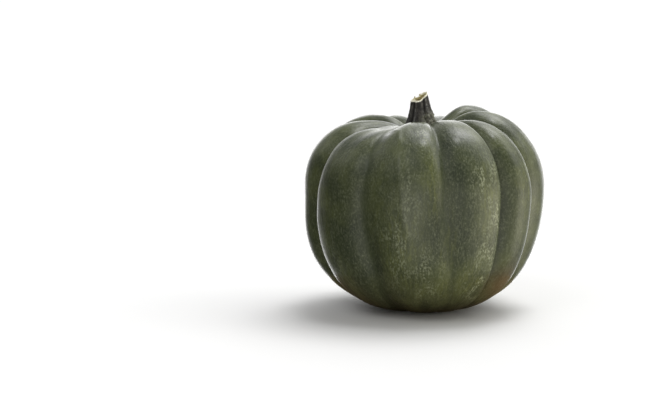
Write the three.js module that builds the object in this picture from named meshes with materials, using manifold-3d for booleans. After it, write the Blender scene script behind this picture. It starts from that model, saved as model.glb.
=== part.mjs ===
/**
 * Acorn squash, whole, as picked: the ribbed fruit standing on its blossom end, and the cut stem on top.
 *
 * Units are millimetres and +Z is up. The origin is on the surface that the fruit rests on, under the middle
 * of its box. Azimuths are in degrees, 0 at the front (-Y) and 90 at the right (+X).
 */
import * as THREE from "three";
import { ParametricGeometry } from "three/addons/geometries/ParametricGeometry.js";
import { mergeVertices } from "three/addons/utils/BufferGeometryUtils.js";
import Module from "manifold-3d";

// The fruit's outline along the ridge of a lobe.
const EQUATOR_RADIUS = 70;
const EQUATOR_HEIGHT = 72;
const CREST_RADIUS = 33; // the highest point of a lobe, near the stem
const CREST_HEIGHT = 114;
const FOOT_INNER_RADIUS = 9; // the ring on which the lobes stand
const FOOT_OUTER_RADIUS = 15;
const FOOT_PRESS = 0.4; // how far the lobes' feet are pressed flat by the fruit's own weight
const SEAT_RADIUS = 9; // the level seat that the stem grows from
const SEAT_HEIGHT = 106.5;
const SCAR_RADIUS = 3.6; // the button left by the flower, in the dimple under the fruit
const SCAR_FLAT_RADIUS = 2.5;
const SCAR_HEIGHT = 1.4;
const DIMPLE_FLOOR_RADIUS = 4.3; // the floor of the dimple, just outside the button
const DIMPLE_WALL_RADIUS = 6.3; // where its wall is steepest
const DIMPLE_HEIGHT = 3;

// The handles of the outline's curves, as shares of the way to the next of its points.
const FOOT_REACH = 0.46;
const FOOT_RISE = 2.3; // millimetres that the flank's handle lies above the foot
const BELLY_REACH = 0.8;
const SHOULDER_REACH = 0.57; // more of it makes a squarer shoulder
const CREST_REACH = 0.38;
const SEAT_REACH = 0.7; // a share of the drop from the crest to the seat
const OUTLINE_ROWS = [1, 2, 3, 2, 17, 13, 7, 1]; // rows of points along each piece of the outline in turn

// The creases between the lobes.
const CREASE_DEPTH = 6.6; // the lobes give each crease's depth as shares of it
const CREASE_FULL_RADIUS = 30; // nearer the axis than this the creases get shallower
const CREASE_FULL_HEIGHT = 36; // and so they do lower than this, down to their share at the foot
const CREASE_FOOT_SHARE = 0.25;
const BELLY_HEIGHT = 45; // the heights at which the shares of a crease's depth are given
const SHOULDER_HEIGHT = 88;
const CROWN_HEIGHT = 106;
const SWING_START_HEIGHT = 50; // the creases swing round between these heights
const SWING_END_HEIGHT = 100;

/**
 * The lobes, in turn round the fruit. Each starts at its own crease and ends at the next lobe's.
 * azimuth: of its first crease at the equator. sway: how far that crease drifts by the blossom end.
 * swing: how far it drifts by the stem end. crest: height of the lobe's top. belly: how far the lobe stands
 * out low down. skew: side its ridge leans to. sides: how full its first and second half are, where 2 is a
 * parabola and more is fuller. depth: its first crease's depth at the crown, the shoulder and the belly, as
 * shares of the full depth. fade: how far from the axis that crease starts to get shallower towards the stem.
 * round: how round that crease's bottom is, as a share of half a lobe.
 */
const LOBES = [
  {
    azimuth: -73, sway: 2, swing: 7, crest: 107.5, belly: 0.5, skew: 0.1,
    sides: [5, 3], depth: [1.1, 1.3, 1.6], fade: 31, round: 0.04,
  },
  {
    azimuth: -31, sway: 5, swing: 2, crest: 112.5, belly: 0, skew: 0.16,
    sides: [2, 5], depth: [1, 0.58, 0.75], fade: 27, round: 0.16,
  },
  {
    azimuth: 8.7, sway: 11, swing: 0, crest: 113.5, belly: -0.5, skew: 0.08,
    sides: [2, 6], depth: [0.8, 0.5, 0.2], fade: 40, round: 0.08,
  },
  {
    azimuth: 42, sway: 1, swing: 1, crest: 112.5, belly: 0, skew: 0.05,
    sides: [2.3, 2.8], depth: [1.05, 1.25, 1.1], fade: 27, round: 0.05,
  },
  {
    azimuth: 69.5, sway: -1, swing: 0, crest: 116, belly: -0.3, skew: 0,
    sides: [2.6, 2.6], depth: [1.1, 1.5, 1.45], fade: 27, round: 0.04,
  },
  {
    azimuth: 110, sway: 2, swing: 0, crest: 117.5, belly: 0, skew: -0.22,
    sides: [2.3, 2.3], depth: [1, 1.2, 1.1], fade: 31, round: 0.06,
  },
  {
    azimuth: 156, sway: 0, swing: -4, crest: 110.5, belly: 0.5, skew: 0.1,
    sides: [3.2, 2.2], depth: [0.9, 0.95, 0.85], fade: 31, round: 0.07,
  },
  {
    azimuth: 187, sway: -3, swing: 2, crest: 110.5, belly: 0, skew: 0,
    sides: [2.3, 3], depth: [0.85, 0.7, 0.6], fade: 31, round: 0.08,
  },
  {
    azimuth: 218, sway: -1, swing: 4, crest: 112, belly: 0.5, skew: -0.12,
    sides: [2.2, 3.4], depth: [1, 1.2, 1], fade: 31, round: 0.05,
  },
  {
    azimuth: 252, sway: 3, swing: 2, crest: 110.5, belly: 2, skew: 0,
    sides: [2.3, 2.3], depth: [0.9, 1, 0.95], fade: 31, round: 0.06,
  },
];
const COLUMNS_PER_LOBE = 12;
const COLUMN_CROWDING = 0.07; // how far the columns of points are drawn to the creases, as a share of a lobe
const DRIFT = { foot: -1, equator: -0.6, crest: -2 }; // where the axis passes along X, at three heights
const DRIFT_START_HEIGHT = 21.6; // below this the axis is upright

// The stem.
const STEM_HEIGHT = 17; // from the seat to the middle of the cut
const STEM_FLARE_RADIUS = 9.4; // at the seat
const STEM_NECK_RADIUS = 4.9; // at the cut
const STEM_FLARE_HANDLE = new THREE.Vector2(7.9, 3.4); // radius and height of the outline's two handles
const STEM_NECK_HANDLE = new THREE.Vector2(5.8, 9.4);
const STEM_ROOT_DEPTH = 3; // how far its outline runs on below the seat, before the fruit is cut away
const STEM_LEAN = -1.9;
const STEM_RIBS = 5;
const STEM_RIB_SHARE = 0.24; // how deep the grooves between the ribs are, as a share of the radius
const STEM_RIB_BREADTH = 0.55; // a rib's cross-section: less of it makes a broader rib and a narrower groove
const STEM_RIB_MEAN = 0.78; // a rib's mean height, which leaves the stem as thick as its outline
const STEM_RIB_AZIMUTH = THREE.MathUtils.degToRad(-13); // the middle of a rib at the seat
const STEM_RIB_TURN = THREE.MathUtils.degToRad(10); // how far the ribs turn on their way up to the cut

// The cut is two slopes that meet in a fold: a gentle one on the left and a steep one on the right.
const CUT_FOLD_HEIGHT = 15.6; // of the fold above the seat, at the front of the stem
const CUT_FOLD_X = -0.2; // from the stem's middle
const CUT_FOLD_TURN = THREE.MathUtils.degToRad(13);
const CUT_FOLD_SOFTNESS = 0.15;
const CUT_STEEP_SIDE = 0.8; // rise for each millimetre away from the fold
const CUT_GENTLE_SIDE = 0.14;
const CUT_BACK_RISE = 0.13; // rise for each millimetre towards the back
const JOINT_GAP = 0.3; // between the stem and the fruit
const STEM_COLUMNS = 60;
const STEM_ROWS = 25;
const WELD_DISTANCE = 1e-3; // points nearer each other than this are one

const { clamp, degToRad, euclideanModulo, lerp, smoothstep } = THREE.MathUtils;

/** The ridge outline as radius against height, from the middle of the scar up to the middle of the seat. */
function ridgeOutline() {
  const footToEquator = EQUATOR_RADIUS - FOOT_OUTER_RADIUS;
  const equatorToCrest = EQUATOR_RADIUS - CREST_RADIUS;
  const crestRise = CREST_HEIGHT - EQUATOR_HEIGHT;
  const seatDrop = CREST_HEIGHT - SEAT_HEIGHT;
  return new THREE.Path()
    .moveTo(0, SCAR_HEIGHT)
    .lineTo(SCAR_FLAT_RADIUS, SCAR_HEIGHT)
    .quadraticCurveTo(SCAR_RADIUS, SCAR_HEIGHT, DIMPLE_FLOOR_RADIUS, DIMPLE_HEIGHT)
    .bezierCurveTo(
      DIMPLE_WALL_RADIUS, DIMPLE_HEIGHT,
      DIMPLE_WALL_RADIUS, -FOOT_PRESS,
      FOOT_INNER_RADIUS, -FOOT_PRESS,
    )
    .lineTo(FOOT_OUTER_RADIUS, -FOOT_PRESS)
    .bezierCurveTo(
      FOOT_OUTER_RADIUS + FOOT_REACH * footToEquator, FOOT_RISE,
      EQUATOR_RADIUS, EQUATOR_HEIGHT * (1 - BELLY_REACH),
      EQUATOR_RADIUS, EQUATOR_HEIGHT,
    )
    .bezierCurveTo(
      EQUATOR_RADIUS, EQUATOR_HEIGHT + SHOULDER_REACH * crestRise,
      CREST_RADIUS + SHOULDER_REACH * equatorToCrest, CREST_HEIGHT,
      CREST_RADIUS, CREST_HEIGHT,
    )
    .bezierCurveTo(
      CREST_RADIUS * (1 - CREST_REACH), CREST_HEIGHT,
      SEAT_RADIUS + SEAT_REACH * seatDrop, SEAT_HEIGHT,
      SEAT_RADIUS, SEAT_HEIGHT,
    )
    .lineTo(0, SEAT_HEIGHT);
}

/** Points of the ridge outline with the direction that faces out of the fruit at each, from scar to seat. */
function outlineStations() {
  return ridgeOutline().curves.flatMap((piece, index) => {
    const rows = OUTLINE_ROWS[index];
    return Array.from({ length: rows + (index === 0 ? 1 : 0) }, (_, row) => {
      const share = (row + (index === 0 ? 0 : 1)) / rows;
      const point = piece.getPointAt(share);
      const along = piece.getTangentAt(share);
      return { radius: point.x, height: point.y, outward: new THREE.Vector2(along.y, -along.x) };
    });
  });
}

/** The lobe with a number in the turn round the fruit. Counting goes on past the last one to the first. */
function lobeAt(index) {
  return LOBES[euclideanModulo(index, LOBES.length)];
}

/** A per-lobe value at a place round the fruit, eased from each lobe's middle to the next one's. */
function blendLobes(key, turn) {
  const before = Math.floor(turn - 0.5);
  const share = turn - 0.5 - before;
  return lerp(lobeAt(before)[key], lobeAt(before + 1)[key], smoothstep(share, 0, 1));
}

/** Azimuth of a crease, in radians, where the outline is at a height. */
function creaseAzimuth(index, height) {
  const { azimuth, sway, swing } = lobeAt(index);
  const fullTurns = Math.floor(index / LOBES.length);
  const below = sway * (1 - smoothstep(height, 0, EQUATOR_HEIGHT));
  const above = swing * smoothstep(height, SWING_START_HEIGHT, SWING_END_HEIGHT);
  return degToRad(azimuth + below + above + 360 * fullTurns);
}

/** How deep a lobe's first crease is at a station of the outline. */
function creaseDepth({ depth, fade }, { radius, height }) {
  const [crown, shoulder, belly] = depth;
  const upToShoulder = lerp(belly, shoulder, smoothstep(height, BELLY_HEIGHT, SHOULDER_HEIGHT));
  const share = lerp(upToShoulder, crown, smoothstep(height, SHOULDER_HEIGHT, CROWN_HEIGHT));
  const nearStem = height < EQUATOR_HEIGHT ? 1 : smoothstep(radius, SCAR_RADIUS, fade);
  const nearAxis = smoothstep(radius, SCAR_RADIUS, CREASE_FULL_RADIUS) * nearStem;
  const nearFoot = lerp(CREASE_FOOT_SHARE, 1, smoothstep(height, 0, CREASE_FULL_HEIGHT));
  return CREASE_DEPTH * share * nearAxis * nearFoot;
}

/** A lobe's cross-section: 0 on its ridge, where reach is 0, and 1 in the crease, where reach is 1. */
function lobeSection(reach, fullness, round) {
  const start = 1 - round;
  const steepness = fullness * start ** (fullness - 1);
  const bottom = start ** fullness + (steepness * round) / 2;
  const past = Math.max(reach - start, 0);
  return (Math.min(reach, start) ** fullness + steepness * (past - past ** 2 / (2 * round))) / bottom;
}

/** Where the fruit's axis passes along X at a height. */
function axisDrift(height) {
  const low = lerp(DRIFT.foot, DRIFT.equator, smoothstep(height, DRIFT_START_HEIGHT, EQUATOR_HEIGHT));
  return lerp(low, DRIFT.crest, smoothstep(height, EQUATOR_HEIGHT, SEAT_HEIGHT));
}

/** A point of the skin. turn counts lobes round the fruit, and station is a point of the ridge outline. */
function skinPoint(turn, station, target) {
  const index = Math.floor(turn);
  const share = turn - index;
  const azimuth = lerp(creaseAzimuth(index, station.height), creaseAzimuth(index + 1, station.height), share);
  const { skew, sides } = lobeAt(index);
  const across = 2 * share - 1;
  const skewed = across - skew * (1 - across * across);
  const crease = skewed < 0 ? lobeAt(index) : lobeAt(index + 1);
  const section = lobeSection(Math.abs(skewed), skewed < 0 ? sides[0] : sides[1], crease.round);
  const inset = creaseDepth(crease, station) * section;

  const lowDown = Math.sin(Math.PI * clamp(station.height / EQUATOR_HEIGHT, 0, 1)) ** 2;
  const clearOfFoot = smoothstep(station.radius, FOOT_OUTER_RADIUS, CREST_RADIUS);
  const belly = blendLobes("belly", turn) * lowDown * clearOfFoot;
  const radius = station.radius + belly - station.outward.x * inset;
  let height = station.height - station.outward.y * inset;
  if (height > EQUATOR_HEIGHT) {
    const crestShare = (blendLobes("crest", turn) - EQUATOR_HEIGHT) / (CREST_HEIGHT - EQUATOR_HEIGHT);
    const away = smoothstep(station.radius, SEAT_RADIUS, CREST_RADIUS);
    height = EQUATOR_HEIGHT + (height - EQUATOR_HEIGHT) * lerp(1, crestShare, away);
  }
  height = Math.max(height, 0);
  return target.set(axisDrift(height) + radius * Math.sin(azimuth), -radius * Math.cos(azimuth), height);
}

/** The place round the fruit, counted in lobes, of a column of its points. */
function columnTurn(column) {
  const even = column / COLUMNS_PER_LOBE;
  return even - COLUMN_CROWDING * Math.sin(2 * Math.PI * even);
}

/** The fruit's skin as one closed surface, from the scar to the seat. */
function fruitGeometry() {
  const stations = outlineStations();
  const columns = LOBES.length * COLUMNS_PER_LOBE;
  const rows = stations.length - 1;
  return new ParametricGeometry(
    (u, v, target) => {
      const column = Math.round(u * columns) % columns;
      skinPoint(columnTurn(column), stations[Math.round(v * rows)], target);
    },
    columns,
    rows,
  );
}

/** The stem's outline, radius against height above the seat, from the middle of its root to its cut edge. */
function stemOutline() {
  return new THREE.Path()
    .moveTo(0, -STEM_ROOT_DEPTH)
    .lineTo(STEM_FLARE_RADIUS, -STEM_ROOT_DEPTH)
    .lineTo(STEM_FLARE_RADIUS, 0)
    .bezierCurveTo(
      STEM_FLARE_HANDLE.x, STEM_FLARE_HANDLE.y,
      STEM_NECK_HANDLE.x, STEM_NECK_HANDLE.y,
      STEM_NECK_RADIUS, STEM_HEIGHT,
    )
    .lineTo(0, STEM_HEIGHT);
}

/** The height of the cut above the seat, at a place measured from the stem's middle. */
function cutHeight(x, y) {
  const beyond = x * Math.cos(CUT_FOLD_TURN) + y * Math.sin(CUT_FOLD_TURN) - CUT_FOLD_X;
  const steep = (beyond + Math.hypot(beyond, CUT_FOLD_SOFTNESS)) / 2;
  const folded = CUT_FOLD_HEIGHT + CUT_STEEP_SIDE * steep + CUT_GENTLE_SIDE * (beyond - steep);
  return folded + CUT_BACK_RISE * (y + STEM_NECK_RADIUS);
}

/** A point of the stem's ribbed surface, with its top brought to the cut. */
function stemPoint(azimuth, { x: radius, y: height }, target) {
  const rise = clamp(height / STEM_HEIGHT, 0, 1);
  const fromRib = azimuth - STEM_RIB_AZIMUTH - STEM_RIB_TURN * rise;
  const rib = Math.abs(Math.cos((STEM_RIBS * fromRib) / 2)) ** STEM_RIB_BREADTH;
  const ribbed = radius * (1 + STEM_RIB_SHARE * (rib - STEM_RIB_MEAN));
  const x = ribbed * Math.sin(azimuth);
  const y = -ribbed * Math.cos(azimuth);
  const brought = height < 0 ? height : height * (cutHeight(x, y) / STEM_HEIGHT);
  return target.set(DRIFT.crest + STEM_LEAN * rise + x, y, SEAT_HEIGHT + brought);
}

/** The stem as one closed surface, still running on below the seat. */
function stemGeometry() {
  const outline = stemOutline();
  const points = Array.from({ length: STEM_ROWS + 1 }, (_, row) => outline.getPoint(row / STEM_ROWS));
  return new ParametricGeometry(
    (u, v, target) => {
      const column = Math.round(u * STEM_COLUMNS) % STEM_COLUMNS;
      stemPoint((column / STEM_COLUMNS) * 2 * Math.PI, points[Math.round(v * STEM_ROWS)], target);
    },
    STEM_COLUMNS,
    STEM_ROWS,
  );
}

const wasm = await Module();
wasm.setup();

/** A closed geometry as a solid that can be joined and cut. */
function toSolid(geometry) {
  const bare = geometry.clone();
  bare.deleteAttribute("normal");
  bare.deleteAttribute("uv");
  const merged = mergeVertices(bare, WELD_DISTANCE);
  return new wasm.Manifold(
    new wasm.Mesh({
      numProp: 3,
      vertProperties: merged.attributes.position.array,
      triVerts: new Uint32Array(merged.index.array),
    }),
  );
}

/** A solid as a geometry to draw. */
function toGeometry(solid) {
  const { vertProperties, triVerts } = solid.getMesh();
  const geometry = new THREE.BufferGeometry();
  geometry.setAttribute("position", new THREE.BufferAttribute(vertProperties, 3));
  geometry.setIndex(new THREE.BufferAttribute(triVerts, 1));
  geometry.computeVertexNormals();
  return geometry;
}

const rind = new THREE.MeshStandardMaterial({ color: 0x4a5139, roughness: 0.45, metalness: 0 });
const bark = new THREE.MeshStandardMaterial({ color: 0x2f2e25, roughness: 0.8, metalness: 0 });

const fruitSolid = toSolid(fruitGeometry());
const stemSolid = toSolid(stemGeometry()).subtract(fruitSolid.translate([0, 0, JOINT_GAP]));

const fruit = new THREE.Mesh(toGeometry(fruitSolid), rind);
fruit.name = "fruit";
const stem = new THREE.Mesh(toGeometry(stemSolid), bark);
stem.name = "stem";

const acornSquash = new THREE.Group();
acornSquash.add(fruit, stem);

// Puts the origin under the middle of the object's box.
const box = new THREE.Box3().setFromObject(acornSquash);
const middle = box.getCenter(new THREE.Vector3());
acornSquash.position.set(-middle.x, -middle.y, -box.min.z);

export default acornSquash;
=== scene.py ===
"""Looks of the acorn squash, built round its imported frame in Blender 4.5.

The fruit, the bark of its stem, the pale face of the stem's cut and the corky scar under the fruit are each
a piece of their own. Lengths are in metres, +Z is up and -Y is the front. Azimuths are in degrees, 0 at the
front and 90 at the right.
"""

from __future__ import annotations

import logging
import math
import random
from dataclasses import dataclass, field
from enum import Enum
from typing import Any, Callable, Iterable, Sequence

import bpy
import numpy as np
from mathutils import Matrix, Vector, noise

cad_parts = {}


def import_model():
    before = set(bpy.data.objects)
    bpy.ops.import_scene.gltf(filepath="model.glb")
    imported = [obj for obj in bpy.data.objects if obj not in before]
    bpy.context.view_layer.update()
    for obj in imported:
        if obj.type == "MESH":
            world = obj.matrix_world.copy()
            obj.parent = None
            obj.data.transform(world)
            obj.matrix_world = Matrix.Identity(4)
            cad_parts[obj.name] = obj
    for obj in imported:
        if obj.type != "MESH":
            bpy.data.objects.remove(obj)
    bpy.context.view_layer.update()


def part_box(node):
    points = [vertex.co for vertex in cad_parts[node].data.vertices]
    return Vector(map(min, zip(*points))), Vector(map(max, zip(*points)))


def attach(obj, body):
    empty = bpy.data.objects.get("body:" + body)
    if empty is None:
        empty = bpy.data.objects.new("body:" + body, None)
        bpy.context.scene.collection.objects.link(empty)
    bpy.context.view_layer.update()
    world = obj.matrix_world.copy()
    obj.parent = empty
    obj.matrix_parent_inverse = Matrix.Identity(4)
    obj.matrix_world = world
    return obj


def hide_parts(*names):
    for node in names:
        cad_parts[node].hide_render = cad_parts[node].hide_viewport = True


log = logging.getLogger("acorn_squash")

MM = 0.001
TINY = 1e-9
TOUCHING = 1e-6
SHARP = math.radians(50)
LUMP_SLOPE = (0.05, 0.75)
Colour = tuple[float, float, float]
Array = np.ndarray


class Slot(Enum):
    """The record's material slots."""

    RIND = "rind"
    STEM_BARK = "stem_bark"
    STEM_CUT = "stem_cut"
    BLOSSOM_SCAR = "blossom_scar"


class Mark(Enum):
    """What is noted on every point of a mesh for its finish to read."""

    GROWTH = "growth"  # the skin rolled out on an upright drum, so that patterns run along the lobes
    CREASE = "crease"  # 0 on the ridge of a lobe, 1 at the bottom of a crease, where the rind's finish paints shade
    RIDGE = "ridge"  # 1 along the edges of the stem's ribs, where the bark's finish paints highlights
    GROOVE = "groove"  # 1 at the bottom of the grooves between the stem's ribs, where the bark's finish paints shade
    LUMP = "lump"  # how green the stem's lumps are
    FLUSH = "flush"  # how yellow the skin has turned
    GROUND = "ground"  # how much it has browned where it lay on the soil
    SHADE = "shade"  # how much dark blue it gets: partly its own first colour, partly painted shade
    FROST = "frost_and_sheen"  # how thickly pale flecks lie on it; two patches of them are a painted sheen and a painted highlight
    RIM = "rim"  # 0 in the middle of the cut, 1 at its edge


# --------------------------------------------------------------------------------------------------
# Small tools
# --------------------------------------------------------------------------------------------------


def ease(value: Array | float, low: float, high: float) -> Array:
    """Returns 0 up to low, 1 from high on, and an eased rise between them."""
    share = np.clip((np.asarray(value, float) - low) / (high - low), 0.0, 1.0)
    return share * share * (3.0 - 2.0 * share)


def mix(start: Array | float, end: Array | float, share: Array | float) -> Array:
    """Returns the value that lies a share of the way from start to end."""
    return start + (np.asarray(end, float) - start) * share


def apart(place: Array, middle: Array | float, whole: float = 360.0) -> Array:
    """Returns how far places are from a middle that comes back after every whole, either way."""
    return (place - middle + whole / 2) % whole - whole / 2


def hill(value: Array, centre: float, width: float) -> Array:
    """Returns a smooth hump that is 1 at centre and fades out over about twice its width."""
    return np.exp(-(((value - centre) / width) ** 2))


def deselect_all() -> None:
    """Leaves edit mode and deselects every object."""
    if bpy.context.object and bpy.context.object.mode != "OBJECT":
        bpy.ops.object.mode_set(mode="OBJECT")
    bpy.ops.object.select_all(action="DESELECT")


def pick(piece: bpy.types.Object) -> None:
    """Makes a piece the only selected and active one.

    Args:
        piece: The piece to work on.
    """
    deselect_all()
    piece.select_set(True)
    bpy.context.view_layer.objects.active = piece


def points_of(piece: bpy.types.Object) -> Array:
    """Returns the piece's points as rows of x, y and z."""
    flat = np.empty(len(piece.data.vertices) * 3)
    piece.data.vertices.foreach_get("co", flat)
    return flat.reshape(-1, 3)


def put_points(piece: bpy.types.Object, points: Array) -> None:
    """Moves the piece's points.

    Args:
        piece: The piece to reshape.
        points: Its new points, as rows of x, y and z.
    """
    piece.data.vertices.foreach_set("co", points.astype(np.float32).ravel())
    piece.data.update()


def note(piece: bpy.types.Object, mark: Mark, values: Array) -> None:
    """Notes a number, or three, on every point of a piece.

    Args:
        piece: The piece to write on.
        mark: What the numbers mean.
        values: One number or one row of three for each point.
    """
    kind, key = ("FLOAT_VECTOR", "vector") if values.ndim == 2 else ("FLOAT", "value")
    attribute = piece.data.attributes.new(mark.value, kind, "POINT")
    attribute.data.foreach_set(key, values.astype(np.float32).ravel())


def polar(points: Array) -> tuple[Array, Array]:
    """Returns how far points are from the Z axis, and their azimuth in degrees from 0 to 360."""
    azimuth = np.degrees(np.arctan2(points[:, 0], -points[:, 1])) % 360.0
    return np.hypot(points[:, 0], points[:, 1]), azimuth


def around(radius: Array, azimuth: Array, height: Array) -> Array:
    """Returns points at a radius, an azimuth in degrees and a height."""
    angle = np.radians(azimuth)
    return np.column_stack((radius * np.sin(angle), -radius * np.cos(angle), height))


def unevenness(points: Array, size: float) -> Array:
    """Returns soft, irregular waves between about -1 and 1 at some points, the size of one wave given."""
    return np.array([noise.noise(Vector(spot)) for spot in points / size])


def lumps(points: Array, size: float) -> Array:
    """Returns round, irregular lumps: 1 at the top of each and 0 between them, about a size apart."""
    nearest = np.array([noise.voronoi(Vector(spot))[0][0] for spot in points / size])
    return 1 - ease(nearest, *LUMP_SLOPE)


def face_outwards() -> None:
    """Merges doubled points of the mesh in edit mode and turns its faces outwards."""
    bpy.ops.mesh.select_all(action="SELECT")
    bpy.ops.mesh.remove_doubles(threshold=TOUCHING)
    bpy.ops.mesh.normals_make_consistent(inside=False)


def fill_with_rings(rings: int) -> None:
    """Fills the selected circle round the Z axis, in edit mode, with evenly shrinking rings.

    Args:
        rings: How many steps there are from the circle to its middle.
    """
    for ring in range(rings - 1):
        left = 1 - ring / rings
        share = (left - 1 / rings) / left
        bpy.ops.mesh.extrude_region_move()
        bpy.ops.transform.resize(value=(share, share, 1), center_override=(0, 0, 0))
    bpy.ops.mesh.merge(type="CENTER")


def close_plug(height: float, taper: float = 1.0) -> None:
    """Draws the filled circle's edge into a wall, in edit mode, and closes the wall's far end.

    Args:
        height: How far up the far end is.
        taper: The far end's width, as a share of the circle's.
    """
    bpy.ops.mesh.select_all(action="SELECT")
    bpy.ops.mesh.region_to_loop()
    bpy.ops.mesh.extrude_edges_move(TRANSFORM_OT_translate={"value": (0, 0, height)})
    bpy.ops.transform.resize(value=(taper, taper, 1), center_override=(0, 0, 0))
    bpy.ops.mesh.edge_face_add()
    face_outwards()


def smooth(piece: bpy.types.Object) -> None:
    """Shades a piece smooth, but for its sharp edges."""
    pick(piece)
    bpy.ops.object.shade_smooth_by_angle(angle=SHARP)


def hand_over(
    piece: bpy.types.Object, material: bpy.types.Material, replaces: Sequence[str] = ()
) -> None:
    """Dresses a finished piece and makes it ride on the fruit.

    Args:
        piece: The finished piece.
        material: Its finish.
        replaces: The nodes of the frame that it stands for.
    """
    piece.data.materials.clear()
    piece.data.materials.append(material)
    if replaces:
        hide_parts(*replaces)
    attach(piece, "root")
    low, high = points_of(piece).min(0), points_of(piece).max(0)
    log.info("%s: %d faces, %s mm", piece.name, len(piece.data.polygons), np.round((high - low) / MM, 1))


# --------------------------------------------------------------------------------------------------
# Node sheets
# --------------------------------------------------------------------------------------------------


class Sheet:
    """A node tree that nodes are laid out on from left to right."""

    COLUMN = 190
    ROWS = 7

    def __init__(self, tree: bpy.types.NodeTree) -> None:
        """Empties the tree.

        Args:
            tree: The tree to build on.
        """
        self.tree = tree
        self.tree.nodes.clear()

    def add(self, kind: str, inputs: dict[Any, Any] | None = None, **settings: Any) -> bpy.types.Node:
        """Adds a node.

        Args:
            kind: Blender's name for the node's type.
            inputs: Values for its inputs, or the outputs that feed them, by name or place.
            **settings: Its other properties.

        Returns:
            The new node.
        """
        count = len(self.tree.nodes)
        node = self.tree.nodes.new(kind)
        node.location = (count // self.ROWS * self.COLUMN, -(count % self.ROWS) * self.COLUMN)
        for name, value in settings.items():
            setattr(node, name, value)
        for name, value in (inputs or {}).items():
            self.feed(node.inputs[name], value)
        return node

    def feed(self, socket: bpy.types.NodeSocket, value: Any) -> None:
        """Joins an output to an input, or sets the input's own value."""
        if isinstance(value, bpy.types.NodeSocket):
            self.tree.links.new(value, socket)
        else:
            socket.default_value = value

    def maths(self, operation: str, first: Any, second: Any = 0.0) -> bpy.types.NodeSocket:
        """Returns the result of a Math node, held between 0 and 1."""
        node = self.add("ShaderNodeMath", {0: first, 1: second}, operation=operation, use_clamp=True)
        return node.outputs[0]

    def slope(
        self, value: Any, low: float, high: float, start: float = 0.0, end: float = 1.0
    ) -> bpy.types.NodeSocket:
        """Returns start where the value is at most low, end from high on, and eases between them."""
        inputs = {"Value": value, "From Min": low, "From Max": high, "To Min": start, "To Max": end}
        return self.add("ShaderNodeMapRange", inputs, interpolation_type="SMOOTHSTEP").outputs["Result"]

    def blend(self, share: Any, under: Any, over: Any) -> bpy.types.NodeSocket:
        """Returns two colours mixed: under where share is 0, over where it is 1."""
        low, high = (
            part if isinstance(part, bpy.types.NodeSocket) else (*part, 1.0) for part in (under, over)
        )
        node = self.add("ShaderNodeMix", {0: share, 6: low, 7: high}, data_type="RGBA")
        return node.outputs[2]

    def cover(self, colour: Any, over: Any, mask: Any, share: Any) -> bpy.types.NodeSocket:
        """Returns a colour covered by another as far as a mask times a share says."""
        return self.blend(self.maths("MULTIPLY", mask, share), colour, over)

    def mark(self, mark: Mark) -> bpy.types.Node:
        """Returns the node that reads what was noted on the mesh's points."""
        return self.add("ShaderNodeAttribute", attribute_name=mark.value)

    def place(self) -> bpy.types.NodeSocket:
        """Returns the point's place on the object, in metres."""
        return self.add("ShaderNodeTexCoord").outputs["Object"]

    def effect(self, group: bpy.types.NodeTree, **inputs: Any) -> bpy.types.NodeSocket:
        """Places an effect and returns its first output.

        Args:
            group: The effect's node group.
            **inputs: Values for its inputs, or the outputs that feed them, by name.
        """
        return self.add("ShaderNodeGroup", inputs, node_tree=group).outputs[0]

    def bump(self, height: Any, distance: float, below: Any = None) -> bpy.types.NodeSocket:
        """Returns the normal of a surface that a height stands out of.

        Args:
            height: The height, from 0 to 1.
            distance: How far a height of 1 stands out.
            below: The normal of coarser relief underneath, if there is some.
        """
        inputs = {"Height": height, "Distance": distance, "Strength": 1.0}
        if below is not None:
            inputs["Normal"] = below
        return self.add("ShaderNodeBump", inputs).outputs["Normal"]


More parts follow.
